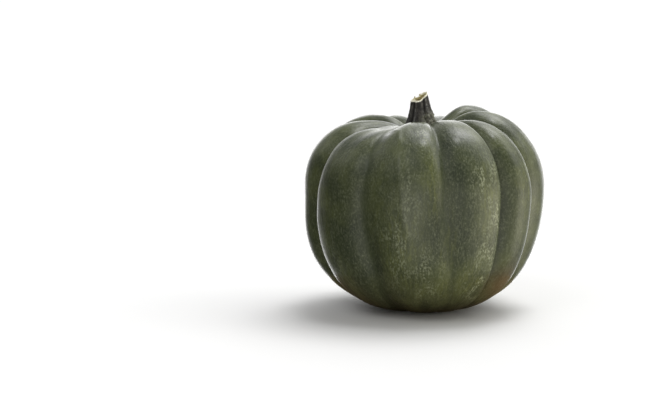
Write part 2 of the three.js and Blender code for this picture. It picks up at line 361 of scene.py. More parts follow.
@dataclass
class Effects:
    """The surface effects that several finishes share, each a node group that is built once."""

    mottle: bpy.types.NodeTree = field(init=False)
    streaks: bpy.types.NodeTree = field(init=False)
    speckle: bpy.types.NodeTree = field(init=False)

    def __post_init__(self) -> None:
        """Builds the groups."""
        bounds = {"Low": 0.4, "High": 0.6}
        self.mottle = self._group("mottle", {"Size": 10 * MM, "Detail": 3.0, **bounds}, self._mottle)
        self.streaks = self._group("streaks", {"Width": 1 * MM, "Length": 10 * MM, **bounds}, self._streaks)
        self.speckle = self._group("speckle", {"Size": 1 * MM, "Share": 0.3, "Spread": 0.4}, self._speckle)

    @staticmethod
    def _group(
        name: str, numbers: dict[str, float], fill: Callable[[Sheet, Any], Any]
    ) -> bpy.types.NodeTree:
        """Builds one group with a Vector input, some numbers and a Mask output.

        Args:
            name: The group's name.
            numbers: The default of each number input.
            fill: Adds the group's inner nodes and returns the mask.

        Returns:
            The group.
        """
        tree = bpy.data.node_groups.new(name, "ShaderNodeTree")
        tree.interface.new_socket("Vector", in_out="INPUT", socket_type="NodeSocketVector")
        for key, value in numbers.items():
            number = tree.interface.new_socket(key, in_out="INPUT", socket_type="NodeSocketFloat")
            number.default_value = value
        tree.interface.new_socket("Mask", in_out="OUTPUT", socket_type="NodeSocketFloat")
        sheet = Sheet(tree)
        given = sheet.add("NodeGroupInput").outputs
        sheet.add("NodeGroupOutput", {"Mask": fill(sheet, given)})
        return tree

    @staticmethod
    def _per(sheet: Sheet, size: Any) -> bpy.types.NodeSocket:
        """Returns one divided by a size: how often a pattern of that size repeats in a metre."""
        return sheet.add("ShaderNodeMath", {0: 1.0, 1: size}, operation="DIVIDE").outputs[0]

    @classmethod
    def _mottle(cls, sheet: Sheet, given: Any) -> bpy.types.NodeSocket:
        """Cloudy patches about as wide as Size."""
        scale = cls._per(sheet, given["Size"])
        inputs = {"Vector": given["Vector"], "Scale": scale, "Detail": given["Detail"]}
        cloud = sheet.add("ShaderNodeTexNoise", inputs).outputs[0]
        return sheet.slope(cloud, given["Low"], given["High"])

    @classmethod
    def _streaks(cls, sheet: Sheet, given: Any) -> bpy.types.NodeSocket:
        """Upright strokes of a width and a length."""
        across = cls._per(sheet, given["Width"])
        along = cls._per(sheet, given["Length"])
        scale = sheet.add("ShaderNodeCombineXYZ", {0: across, 1: across, 2: along}).outputs[0]
        stretched = sheet.add("ShaderNodeVectorMath", {0: given["Vector"], 1: scale}, operation="MULTIPLY")
        inputs = {"Vector": stretched.outputs[0], "Scale": 1.0, "Detail": 3.0}
        strokes = sheet.add("ShaderNodeTexNoise", inputs).outputs[0]
        return sheet.slope(strokes, given["Low"], given["High"])

    @classmethod
    def _speckle(cls, sheet: Sheet, given: Any) -> bpy.types.NodeSocket:
        """Soft dots, of which only a share is kept."""
        inputs = {"Vector": given["Vector"], "Scale": cls._per(sheet, given["Size"])}
        dots = sheet.add("ShaderNodeTexVoronoi", inputs)
        near = sheet.slope(dots.outputs["Distance"], given["Spread"], 0.0)
        chance = sheet.add("ShaderNodeSeparateColor", {0: dots.outputs["Color"]}).outputs[0]
        kept = sheet.maths("LESS_THAN", chance, given["Share"])
        return sheet.maths("MULTIPLY", near, kept)


# --------------------------------------------------------------------------------------------------
# Finishes
# --------------------------------------------------------------------------------------------------


def blank_material(name: str) -> tuple[bpy.types.Material, Sheet, bpy.types.Node]:
    """Makes a material with nothing but its surface shader.

    Args:
        name: The material's name.

    Returns:
        The material, its sheet and the shader node.
    """
    material = bpy.data.materials.new(name)
    material.use_nodes = True
    sheet = Sheet(material.node_tree)
    shader = sheet.add("ShaderNodeBsdfPrincipled")
    sheet.add("ShaderNodeOutputMaterial", {"Surface": shader.outputs[0]})
    return material, sheet, shader


@dataclass(frozen=True)
class RindFinish:
    """The waxy green rind, mottled dark, streaked yellow along the lobes and dusted with pale grains.

    Its creases carry painted shade. Its dark blue patches are partly its own tone and partly painted shade.
    Two pale patches on the front lobe's crown are a painted sheen and a painted highlight.
    """

    green: Colour = (0.093, 0.108, 0.045)
    dark: Colour = (0.046, 0.057, 0.027)
    slate_and_shade: Colour = (0.026, 0.033, 0.022)
    yellow: Colour = (0.168, 0.184, 0.052)
    pale: Colour = (0.350, 0.380, 0.250)
    soil: Colour = (0.180, 0.108, 0.050)
    slate_shade_share: float = 0.85
    patch_share: float = 0.40
    grain_share: float = 0.12
    dot_share: float = 0.20
    frost_and_sheen_share: tuple[float, float] = (0.12, 0.75)
    clump_share: tuple[float, float] = (0.20, 1.0)
    stroke_share: tuple[float, float] = (0.30, 1.0)
    crease_shade_start: float = 0.80
    crease_shade_share: float = 0.5
    roughness: tuple[float, float] = (0.34, 0.46)
    rough_patches: float = 0.5
    rough_full: float = 1.2
    specular: float = 0.25
    bloom: tuple[float, float] = (0.42, 0.06)
    bloom_roughness: float = 0.13
    patch_relief: float = 0.12 * MM
    fleck_relief: float = 0.05 * MM

    def material(self, effects: Effects) -> bpy.types.Material:
        """Builds the material.

        Args:
            effects: The shared effects.

        Returns:
            The material.
        """
        material, sheet, shader = blank_material("rind")
        skin = sheet.mark(Mark.GROWTH).outputs["Vector"]
        marks = (Mark.CREASE, Mark.FLUSH, Mark.GROUND, Mark.SHADE, Mark.FROST)
        crease, flush, ground, shade, frost_and_sheen = (sheet.mark(mark).outputs["Fac"] for mark in marks)

        def strokes_of(width: float, length: float, low: float, high: float) -> bpy.types.NodeSocket:
            """Returns strokes of a width and a length that follow the growing skin."""
            shape = {"Width": width, "Length": length, "Low": low, "High": high}
            return sheet.effect(effects.streaks, Vector=skin, **shape)

        clouds = sheet.effect(effects.mottle, Vector=skin, Size=14 * MM, Detail=5.0, Low=0.36, High=0.64)
        patches = strokes_of(width=3.6 * MM, length=9 * MM, low=0.40, high=0.64)
        strokes = strokes_of(width=1.5 * MM, length=7 * MM, low=0.42, high=0.66)
        clumps = strokes_of(width=4.0 * MM, length=8 * MM, low=0.42, high=0.60)
        flecks = strokes_of(width=1.0 * MM, length=1.5 * MM, low=0.45, high=0.64)
        grains = strokes_of(width=0.8 * MM, length=1.5 * MM, low=0.46, high=0.70)
        dots = sheet.effect(effects.speckle, Vector=skin, Size=2.4 * MM, Share=0.25, Spread=0.34)

        colour = sheet.blend(clouds, self.dark, self.green)
        # Dark blue patches: partly the skin's own tone, partly painted shade.
        colour = sheet.cover(colour, self.slate_and_shade, shade, self.slate_shade_share)
        colour = sheet.cover(colour, self.dark, patches, self.patch_share)
        colour = sheet.cover(colour, self.yellow, flush, sheet.slope(strokes, 0.0, 1.0, *self.stroke_share))
        colour = sheet.cover(colour, self.pale, grains, self.grain_share)
        clumped = sheet.slope(clumps, 0.0, 1.0, *self.clump_share)
        # Pale flecks, dense where the patches say; two of those patches paint a sheen and a highlight.
        frosted = sheet.maths("MULTIPLY", sheet.slope(frost_and_sheen, 0.0, 1.0, *self.frost_and_sheen_share), clumped)
        colour = sheet.cover(colour, self.pale, flecks, frosted)
        colour = sheet.cover(colour, self.pale, dots, self.dot_share)
        colour = sheet.blend(ground, colour, self.soil)
        # Painted shade: darker towards the bottom of each crease.
        crease_shade = sheet.slope(crease, self.crease_shade_start, 1.0, 0.0, self.crease_shade_share)
        colour = sheet.blend(crease_shade, colour, self.dark)
        sheet.feed(shader.inputs["Base Color"], colour)

        uneven = sheet.maths("ADD", sheet.maths("MULTIPLY", patches, self.rough_patches), flecks)
        roughness = sheet.slope(uneven, 0.0, self.rough_full, *self.roughness)
        sheet.feed(shader.inputs["Roughness"], roughness)
        shader.inputs["Specular IOR Level"].default_value = self.specular
        sheet.feed(shader.inputs["Coat Weight"], sheet.slope(shade, 0.0, 1.0, *self.bloom))
        shader.inputs["Coat Roughness"].default_value = self.bloom_roughness
        coarse = sheet.bump(patches, self.patch_relief)
        sheet.feed(shader.inputs["Normal"], sheet.bump(flecks, self.fleck_relief, coarse))
        return material


@dataclass(frozen=True)
class BarkFinish:
    """The stem's dry, dark skin, ridged along its length and green between the ridges low down.

    The bottoms of its grooves carry painted shade and its ribs' edges painted highlights.
    """

    deep: Colour = (0.008, 0.008, 0.006)
    dark: Colour = (0.022, 0.021, 0.019)
    brown: Colour = (0.085, 0.076, 0.066)
    ridge_highlight: Colour = (0.340, 0.340, 0.320)
    green: Colour = (0.400, 0.410, 0.300)
    crack_share: float = 0.35
    groove_shade_share: float = 0.85
    ridge_highlight_share: tuple[float, float] = (0.15, 0.60)
    lump_share: tuple[float, float] = (0.40, 1.0)
    roughness: tuple[float, float] = (0.50, 0.80)
    specular: float = 0.5
    line_relief: float = 0.20 * MM
    crack_relief: float = 0.10 * MM

    def material(self, effects: Effects) -> bpy.types.Material:
        """Builds the material.

        Args:
            effects: The shared effects.

        Returns:
            The material.
        """
        material, sheet, shader = blank_material("stem_bark")
        place = sheet.place()
        marks = (Mark.LUMP, Mark.RIDGE, Mark.GROOVE)
        lumpy, ridge, groove = (sheet.mark(mark).outputs["Fac"] for mark in marks)
        line = {"Width": 0.7 * MM, "Length": 6 * MM, "Low": 0.40, "High": 0.64}
        crack = {"Width": 0.35 * MM, "Length": 2.5 * MM, "Low": 0.44, "High": 0.58}
        lines = sheet.effect(effects.streaks, Vector=place, **line)
        cracks = sheet.effect(effects.streaks, Vector=place, **crack)
        blotches = sheet.effect(effects.mottle, Vector=place, Size=1.8 * MM, Detail=4.0, Low=0.40, High=0.60)

        colour = sheet.blend(lines, self.dark, self.brown)
        colour = sheet.cover(colour, self.dark, cracks, self.crack_share)
        # Painted shade: near black at the bottoms of the grooves.
        colour = sheet.cover(colour, self.deep, groove, self.groove_shade_share)
        # Painted highlight: pale along the ribs' edges, more on one edge than the other.
        colour = sheet.cover(colour, self.ridge_highlight, ridge, sheet.slope(blotches, 0.0, 1.0, *self.ridge_highlight_share))
        colour = sheet.cover(colour, self.green, lumpy, sheet.slope(blotches, 0.0, 1.0, *self.lump_share))
        sheet.feed(shader.inputs["Base Color"], colour)
        sheet.feed(shader.inputs["Roughness"], sheet.slope(cracks, 0.0, 1.0, *self.roughness))
        shader.inputs["Specular IOR Level"].default_value = self.specular
        ridged = sheet.bump(lines, self.line_relief)
        sheet.feed(shader.inputs["Normal"], sheet.bump(cracks, self.crack_relief, ridged))
        return material


@dataclass(frozen=True)
class CutFinish:
    """The cut face of the stem: a pale woody rim round softer, browner pith."""

    rim: Colour = (0.95, 0.93, 0.76)
    flesh: Colour = (0.72, 0.67, 0.42)
    pith: Colour = (0.52, 0.43, 0.19)
    dry: Colour = (0.10, 0.08, 0.035)
    flesh_from: tuple[float, float] = (0.10, 0.55)
    rim_from: tuple[float, float] = (0.70, 0.95)
    dry_share: tuple[float, float] = (0.85, 0.25)
    dry_edge: float = 0.6
    fibre_share: float = 0.15
    roughness: float = 0.8
    specular: float = 0.0
    blotch_relief: float = 0.25 * MM
    fibre_relief: float = 0.12 * MM

    def material(self, effects: Effects) -> bpy.types.Material:
        """Builds the material.

        Args:
            effects: The shared effects.

        Returns:
            The material.
        """
        material, sheet, shader = blank_material("stem_cut")
        place = sheet.place()
        rim = sheet.mark(Mark.RIM).outputs["Fac"]
        fibres = sheet.effect(effects.speckle, Vector=place, Size=0.55 * MM, Share=0.7, Spread=0.55)
        blotches = sheet.effect(effects.mottle, Vector=place, Size=1.5 * MM, Detail=4.0, Low=0.42, High=0.60)

        colour = sheet.blend(sheet.slope(rim, *self.flesh_from), self.pith, self.flesh)
        dryness = sheet.slope(rim, 0.0, self.dry_edge, *self.dry_share)
        colour = sheet.cover(colour, self.dry, blotches, dryness)
        colour = sheet.cover(colour, self.rim, fibres, self.fibre_share)
        colour = sheet.blend(sheet.slope(rim, *self.rim_from), colour, self.rim)
        sheet.feed(shader.inputs["Base Color"], colour)
        shader.inputs["Roughness"].default_value = self.roughness
        shader.inputs["Specular IOR Level"].default_value = self.specular
        rough = sheet.bump(blotches, self.blotch_relief)
        sheet.feed(shader.inputs["Normal"], sheet.bump(fibres, self.fibre_relief, rough))
        return material


@dataclass(frozen=True)
class CorkFinish:
    """The dry, corky button where the flower was."""

    cork: Colour = (0.30, 0.24, 0.15)
    dark: Colour = (0.09, 0.065, 0.04)
    grain_share: float = 0.5
    roughness: float = 0.9
    specular: float = 0.2
    blotch_relief: float = 0.40 * MM
    grain_relief: float = 0.15 * MM

    def material(self, effects: Effects) -> bpy.types.Material:
        """Builds the material.

        Args:
            effects: The shared effects.

        Returns:
            The material.
        """
        material, sheet, shader = blank_material("blossom_scar")
        place = sheet.place()
        blotches = sheet.effect(effects.mottle, Vector=place, Size=1.4 * MM, Detail=5.0, Low=0.40, High=0.62)
        grains = sheet.effect(effects.speckle, Vector=place, Size=0.5 * MM, Share=0.6, Spread=0.5)
        colour = sheet.blend(blotches, self.dark, self.cork)
        colour = sheet.cover(colour, self.dark, grains, self.grain_share)
        sheet.feed(shader.inputs["Base Color"], colour)
        shader.inputs["Roughness"].default_value = self.roughness
        shader.inputs["Specular IOR Level"].default_value = self.specular
        rough = sheet.bump(blotches, self.blotch_relief)
        sheet.feed(shader.inputs["Normal"], sheet.bump(grains, self.grain_relief, rough))
        return material


# --------------------------------------------------------------------------------------------------
# The fruit
# --------------------------------------------------------------------------------------------------


@dataclass(frozen=True)
class Lobe:
    """One lobe of the fruit, from its own first crease to the next lobe's.

    Attributes:
        crease: Azimuth of its first crease at the fruit's widest.
        sway: How far that crease drifts by the blossom end, in degrees.
        swing: How far it drifts by the stem end.
        crest: Height of the lobe's top.
        belly: How far the lobe stands out low down.
        skew: Side that its ridge leans to.
        sides: How full its first and second half are: 2 is a parabola, more is fuller.
        depth: How deep its first crease is at crown, shoulder and belly, as shares of the deepest.
        fade: How far from the axis that crease starts to get shallower towards the stem.
        round: How round the bottom of that crease is, as a share of half a lobe.
    """

    crease: float
    sway: float
    swing: float
    crest: float
    belly: float
    skew: float
    sides: tuple[float, float]
    depth: tuple[float, float, float]
    fade: float
    round: float


@dataclass(frozen=True)
class Fold:
    """A faint raised line along a lobe.

    Attributes:
        path: Heights with its azimuth at each.
        start: Height below which it fades out.
        width: Half its width.
        rise: How far it stands out.
    """

    path: tuple[tuple[float, float], ...]
    start: float
    width: float
    rise: float


@dataclass(frozen=True)
class Patch:
    """A patch of skin whose colour has turned, or on which shade, sheen or a highlight is painted.

    Attributes:
        mark: What has happened to it, or what light or shade is painted on it.
        azimuth: Where its middle is round the fruit.
        height: Where its middle is above the ground.
        across: Half its width, in degrees.
        along: Half its height.
        strength: How far it has turned, up to 1.
    """

    mark: Mark
    azimuth: float
    height: float
    across: float
    along: float
    strength: float


LOBES = (
    Lobe(-73, 2, 7, 107.5 * MM, 0.5 * MM, 0.10, (5.0, 3.0), (1.1, 1.3, 1.6), 31 * MM, 0.04),
    Lobe(-31, 5, 2, 112.5 * MM, 0.0 * MM, 0.14, (2.4, 4.2), (0.42, 0.50, 0.75), 27 * MM, 0.16),
    Lobe(8.7, 11, 1, 113.5 * MM, -0.5 * MM, 0.08, (3.0, 6.0), (0.55, 0.50, 0.20), 40 * MM, 0.08),
    Lobe(42, 1, 1, 112.5 * MM, 0.0 * MM, 0.05, (2.3, 2.8), (1.05, 1.25, 1.1), 27 * MM, 0.05),
    Lobe(69.5, -1, 0, 116 * MM, -0.3 * MM, 0.0, (2.6, 2.6), (1.1, 1.5, 1.45), 27 * MM, 0.04),
    Lobe(110, 2, 0, 117.5 * MM, 0.0 * MM, -0.22, (2.3, 2.3), (1.0, 1.2, 1.1), 31 * MM, 0.06),
    Lobe(156, 0, -4, 110.5 * MM, 0.5 * MM, 0.10, (3.2, 2.2), (0.9, 0.95, 0.85), 31 * MM, 0.07),
    Lobe(187, -3, 2, 110.5 * MM, 0.0 * MM, 0.0, (2.3, 3.0), (0.85, 0.7, 0.6), 31 * MM, 0.08),
    Lobe(218, -1, 4, 112 * MM, 0.5 * MM, -0.12, (2.2, 3.4), (1.0, 1.2, 1.0), 31 * MM, 0.05),
    Lobe(252, 3, 2, 110.5 * MM, 2.0 * MM, 0.0, (2.3, 2.3), (0.9, 1.0, 0.95), 31 * MM, 0.06),
)

FRONT_LINE = (
    (50 * MM, -7.0),
    (66 * MM, -10.0),
    (85 * MM, -11.0),
    (104 * MM, -12.5),
    (111 * MM, -16.5),
    (114 * MM, -27.0),
)
LEFT_LINE = ((30 * MM, -56.0), (60 * MM, -53.0), (90 * MM, -50.0), (107 * MM, -52.0))

FOLDS = (
    Fold(FRONT_LINE, 46 * MM, 2.2 * MM, 0.50 * MM),
    Fold(LEFT_LINE, 20 * MM, 3.5 * MM, 0.25 * MM),
    Fold(((30 * MM, 92.0), (70 * MM, 90.0), (110 * MM, 88.0)), 30 * MM, 3.0 * MM, 0.35 * MM),
    Fold(((30 * MM, 136.0), (70 * MM, 131.0), (112 * MM, 128.0)), 30 * MM, 3.0 * MM, 0.40 * MM),
    Fold(((60 * MM, 200.0), (85 * MM, 203.0), (110 * MM, 206.0)), 56 * MM, 2.6 * MM, 0.45 * MM),
    Fold(((30 * MM, 232.0), (70 * MM, 235.0), (110 * MM, 236.0)), 30 * MM, 3.0 * MM, 0.35 * MM),
)

PATCHES = (
    Patch(Mark.FLUSH, -12, 46 * MM, 12, 26 * MM, 0.45),
    Patch(Mark.FLUSH, 4, 84 * MM, 5, 22 * MM, 0.45),
    Patch(Mark.FLUSH, 11, 40 * MM, 4, 24 * MM, 0.45),
    Patch(Mark.FLUSH, 32, 70 * MM, 7, 26 * MM, 0.45),
    Patch(Mark.FLUSH, 27, 26 * MM, 9, 12 * MM, 0.45),
    Patch(Mark.FLUSH, 57, 76 * MM, 6, 20 * MM, 0.50),
    Patch(Mark.FLUSH, -56, 58 * MM, 7, 22 * MM, 0.20),
    Patch(Mark.FLUSH, 92, 60 * MM, 9, 30 * MM, 0.25),
    Patch(Mark.FLUSH, 135, 55 * MM, 12, 30 * MM, 0.45),
    Patch(Mark.FLUSH, 172, 64 * MM, 9, 26 * MM, 0.35),
    Patch(Mark.FLUSH, 204, 50 * MM, 8, 28 * MM, 0.40),
    Patch(Mark.FLUSH, 236, 66 * MM, 10, 30 * MM, 0.30),
    Patch(Mark.FLUSH, 270, 56 * MM, 9, 24 * MM, 0.20),
    Patch(Mark.GROUND, 52, 20 * MM, 9, 10 * MM, 0.48),
    Patch(Mark.GROUND, 160, 20 * MM, 20, 10 * MM, 0.30),
    # Dark blue patches: partly the skin's own tone, partly painted shade on grooves, on flanks in shadow and
    # on one lobe's crown.
    Patch(Mark.SHADE, 16, 88 * MM, 8, 16 * MM, 0.80),
    Patch(Mark.SHADE, 5, 60 * MM, 9, 20 * MM, 0.90),
    Patch(Mark.SHADE, 15, 60 * MM, 9, 26 * MM, 1.00),
    Patch(Mark.SHADE, 12, 100 * MM, 7, 14 * MM, 1.00),
    Patch(Mark.SHADE, -35, 48 * MM, 9, 44 * MM, 0.85),
    Patch(Mark.SHADE, -26, 34 * MM, 8, 32 * MM, 0.95),
    Patch(Mark.SHADE, 3, 60 * MM, 6, 26 * MM, 0.75),
    Patch(Mark.SHADE, 45, 66 * MM, 7, 26 * MM, 0.80),
    Patch(Mark.SHADE, -50, 88 * MM, 14, 18 * MM, 0.30),
    Patch(Mark.SHADE, 96, 84 * MM, 8, 22 * MM, 0.40),
    Patch(Mark.SHADE, 152, 80 * MM, 12, 26 * MM, 0.45),
    Patch(Mark.SHADE, 220, 82 * MM, 12, 24 * MM, 0.50),
    Patch(Mark.FROST, -13, 44 * MM, 7, 24 * MM, 0.65),
    # The next two are a painted sheen and a painted highlight on the front lobe's crown.
    Patch(Mark.FROST, -7, 74 * MM, 5, 24 * MM, 0.45),
    Patch(Mark.FROST, -3, 108 * MM, 6, 12 * MM, 0.80),
    Patch(Mark.FROST, 0, 28 * MM, 8, 20 * MM, 0.60),
    Patch(Mark.FROST, 36, 62 * MM, 6, 34 * MM, 1.00),
    Patch(Mark.FROST, 32, 32 * MM, 7, 26 * MM, 1.00),
    Patch(Mark.FROST, 28, 84 * MM, 6, 14 * MM, 0.75),
    Patch(Mark.FROST, 65, 62 * MM, 5, 32 * MM, 0.60),
    Patch(Mark.FROST, 86, 60 * MM, 8, 30 * MM, 0.40),
    Patch(Mark.FROST, -50, 30 * MM, 10, 22 * MM, 0.25),
    Patch(Mark.FROST, 128, 56 * MM, 12, 30 * MM, 0.60),
    Patch(Mark.FROST, 166, 40 * MM, 10, 24 * MM, 0.50),
    Patch(Mark.FROST, 196, 70 * MM, 9, 24 * MM, 0.45),
    Patch(Mark.FROST, 230, 48 * MM, 10, 28 * MM, 0.60),
    Patch(Mark.FROST, 262, 60 * MM, 9, 24 * MM, 0.35),
)


@dataclass
class Fruit:
    """The ribbed fruit: a ridge outline spun round its axis, and lobes pressed out of that.

    Attributes:
        rows: How many rows of faces each curve of the outline gets, from the scar up.
        place: Where the axis's foot is, once the fruit is fitted to the frame.
    """

    # the ridge outline
    equator_radius: float = 70 * MM
    equator_height: float = 72 * MM
    crest_radius: float = 33 * MM
    crest_height: float = 114 * MM
    foot_inner_radius: float = 9 * MM
    foot_outer_radius: float = 15 * MM
    foot_press: float = 0.4 * MM
    seat_radius: float = 9 * MM
    seat_height: float = 106.5 * MM
    scar_radius: float = 3.6 * MM
    scar_flat_radius: float = 2.5 * MM
    scar_height: float = 1.4 * MM
    dimple_floor_radius: float = 4.3 * MM
    dimple_wall_radius: float = 6.3 * MM
    dimple_height: float = 3 * MM
    foot_reach: float = 0.46
    foot_rise: float = 2.3 * MM
    belly_reach: float = 0.8
    shoulder_reach: float = 0.57
    crest_reach: float = 0.38
    seat_reach: float = 0.7
    rows: tuple[int, ...] = (3, 4, 8, 5, 94, 72, 38, 5)
    columns: int = 360

    # the creases between the lobes, and how they drift
    crease_depth: float = 6.6 * MM
    crease_full_height: float = 36 * MM
    crease_foot_share: float = 0.25
    belly_height: float = 45 * MM
    shoulder_height: float = 88 * MM
    crown_height: float = 106 * MM
    swing_low: float = 50 * MM
    swing_high: float = 100 * MM

    # the axis's own drift to the left, from the foot up
    drift_foot: float = -1 * MM
    drift_equator: float = -0.6 * MM
    drift_crest: float = -2 * MM
    drift_start_height: float = 21.6 * MM

    # the skin
    fold_foot: float = 14 * MM
    fold_clear_radius: float = 22 * MM
    swell: float = 0.5 * MM
    swell_size: float = 17 * MM
    drum_radius: float = 66 * MM
    lobes: tuple[Lobe, ...] = LOBES
    folds: tuple[Fold, ...] = FOLDS
    patches: tuple[Patch, ...] = PATCHES
    place: Vector = field(default_factory=Vector)

    def build(self) -> bpy.types.Object:
        """Builds the fruit's skin, fitted to the frame's fruit.

        Returns:
            The skin.
        """
        skin = self._spin_outline()
        drawn = points_of(skin)
        normals = np.empty(len(drawn) * 3)
        skin.data.vertices.foreach_get("normal", normals)
        turn, points = self._shape_lobes(drawn, normals.reshape(-1, 3))
        put_points(skin, points)
        self._fit(skin)
        self._note_growth(skin, drawn, turn)
        self._swell(skin)
        pick(skin)
        bpy.ops.object.shade_smooth()
        return skin

    def _outline(self) -> list[tuple[int, tuple[tuple[float, float], ...]]]:
        """Returns the ridge outline from the scar to the seat: each curve's rows and four control points."""
        to_equator = self.equator_radius - self.foot_outer_radius
        crest_rise = self.crest_height - self.equator_height
        to_crest = self.equator_radius - self.crest_radius
        seat_drop = self.crest_height - self.seat_height
        seat_handle = self.seat_radius + self.seat_reach * seat_drop
        foot = -self.foot_press
        scar_end = (self.scar_flat_radius, self.scar_height)
        scar_edge = (self.scar_radius, self.scar_height)
        floor = (self.dimple_floor_radius, self.dimple_height)
        foot_in, foot_out = (self.foot_inner_radius, foot), (self.foot_outer_radius, foot)
        equator = (self.equator_radius, self.equator_height)
        crest, seat = (self.crest_radius, self.crest_height), (self.seat_radius, self.seat_height)
        flank = (self.foot_outer_radius + self.foot_reach * to_equator, self.foot_rise)
        belly = (self.equator_radius, self.equator_height * (1 - self.belly_reach))
        shoulder_low = (self.equator_radius, self.equator_height + self.shoulder_reach * crest_rise)
        shoulder_high = (self.crest_radius + self.shoulder_reach * to_crest, self.crest_height)
        crest_in = (self.crest_radius * (1 - self.crest_reach), self.crest_height)
        wall_top, wall_foot = (self.dimple_wall_radius, self.dimple_height), (self.dimple_wall_radius, foot)
        scar_middle, seat_middle = (0.0, self.scar_height), (0.0, self.seat_height)
        curves = (
            (scar_middle, scar_middle, scar_end, scar_end),
            (scar_end, scar_edge, scar_edge, floor),
            (floor, wall_top, wall_foot, foot_in),
            (foot_in, foot_in, foot_out, foot_out),
            (foot_out, flank, belly, equator),
            (equator, shoulder_low, shoulder_high, crest),
            (crest, crest_in, (seat_handle, self.seat_height), seat),
            (seat, seat, seat_middle, seat_middle),
        )
        return list(zip(self.rows, curves))

    def _spin_outline(self) -> bpy.types.Object:
        """Draws the ridge outline as curves and spins it round the Z axis.

        Returns:
            A smooth body as wide as the ridges everywhere.
        """
        deselect_all()
        bpy.ops.curve.primitive_bezier_curve_add(location=(0, 0, 0))
        skin = bpy.context.object
        skin.name = "fruit_skin"
        skin.data.name = "fruit_skin"
        skin.data.dimensions = "3D"
        skin.data.splines.clear()
        for rows, (start, start_handle, end_handle, end) in self._outline():
            spline = skin.data.splines.new("BEZIER")
            spline.bezier_points.add(1)
            spline.resolution_u = rows
            for knot, spot, left, right in zip(
                spline.bezier_points, (start, end), (start, end_handle), (start_handle, end)
            ):
                knot.handle_left_type = knot.handle_right_type = "FREE"
                knot.co = (spot[0], 0, spot[1])
                knot.handle_left = (left[0], 0, left[1])
                knot.handle_right = (right[0], 0, right[1])
        bpy.ops.object.convert(target="MESH")
        skin = bpy.context.object
        bpy.ops.object.mode_set(mode="EDIT")
        bpy.ops.mesh.select_all(action="SELECT")
        bpy.ops.mesh.remove_doubles(threshold=TOUCHING)
        bpy.ops.mesh.select_all(action="SELECT")
        bpy.ops.mesh.spin(steps=self.columns, angle=2 * math.pi, center=(0, 0, 0), axis=(0, 0, 1))
        face_outwards()
        bpy.ops.object.mode_set(mode="OBJECT")
        return skin

    def _lobe_values(self, key: str) -> Array:
        """Returns one value of every lobe, in turn."""
        return np.array([getattr(lobe, key) for lobe in self.lobes], float)

    def _blend_lobes(self, key: str, turn: Array) -> Array:
        """Returns a value eased from the middle of each lobe to the middle of the next."""
        values = self._lobe_values(key)
        before = np.floor(turn - 0.5).astype(int)
        share = turn - 0.5 - before
        count = len(values)
        return mix(values[before % count], values[(before + 1) % count], ease(share, 0.0, 1.0))

    def _crease_azimuth(self, index: Array, height: Array) -> Array:
        """Returns the azimuth of creases where the outline is at some heights."""
        count = len(self.lobes)
        below = self._lobe_values("sway")[index % count] * (1 - ease(height, 0.0, self.equator_height))
        above = self._lobe_values("swing")[index % count] * ease(height, self.swing_low, self.swing_high)
        return self._lobe_values("crease")[index % count] + below + above + 360.0 * (index // count)

    def _axis_drift(self, height: Array) -> Array:
        """Returns where the axis passes along X at some heights."""
        low_down = ease(height, self.drift_start_height, self.equator_height)
        high_up = ease(height, self.equator_height, self.seat_height)
        return mix(mix(self.drift_foot, self.drift_equator, low_down), self.drift_crest, high_up)

    def _inset(self, turn: Array, radius: Array, height: Array) -> Array:
        """Returns how far the skin lies inside the ridge outline.

        Args:
            turn: Place round the fruit, counted in lobes.
            radius: Radius of the ridge outline there.
            height: Height of the ridge outline there.
        """
        count = len(self.lobes)
        index = np.floor(turn).astype(int)
        across = 2 * (turn - index) - 1
        skewed = across - self._lobe_values("skew")[index % count] * (1 - across**2)
        first = skewed < 0
        crease = np.where(first, index, index + 1) % count
        full = np.where(first, *self._lobe_values("sides")[index % count].T)
        bowl = self._lobe_values("round")[crease]
        reach = np.abs(skewed)
        start = 1 - bowl
        past = np.clip(reach - start, 0, None)
        steepness = full * start ** (full - 1)
        bottom = start**full + steepness * bowl / 2
        bowled = start**full + steepness * (past - past**2 / (2 * bowl))
        section = np.where(reach < start, reach**full, bowled) / bottom
        crown, shoulder, belly = self._lobe_values("depth")[crease].T
        depth = mix(belly, shoulder, ease(height, self.belly_height, self.shoulder_height))
        depth = self.crease_depth * mix(depth, crown, ease(height, self.shoulder_height, self.crown_height))
        faded = ease(radius, self.scar_radius, self._lobe_values("fade")[crease])
        near_axis = np.where(height < self.equator_height, 1.0, faded)
        near_axis = near_axis * ease(radius, self.scar_radius, self.foot_outer_radius * 2)
        near_foot = mix(self.crease_foot_share, 1.0, ease(height, 0.0, self.crease_full_height))
        return depth * near_axis * near_foot * section

    def _folded(self, azimuth: Array, radius: Array, height: Array) -> Array:
        """Returns how far the folds raise the skin.

        Args:
            azimuth: Place round the fruit, in degrees.
            radius: Radius of the ridge outline there.
            height: Height of the ridge outline there.
        """
        raised = np.zeros(len(azimuth))
        for fold in self.folds:
            heights, azimuths = np.array(fold.path).T
            across = np.radians(apart(azimuth, np.interp(height, heights, azimuths))) * radius
            foot = ease(height, fold.start, fold.start + self.fold_foot)
            ends = foot * ease(radius, self.seat_radius, self.fold_clear_radius)
            raised += fold.rise * hill(across, 0.0, fold.width) * ends
        return raised

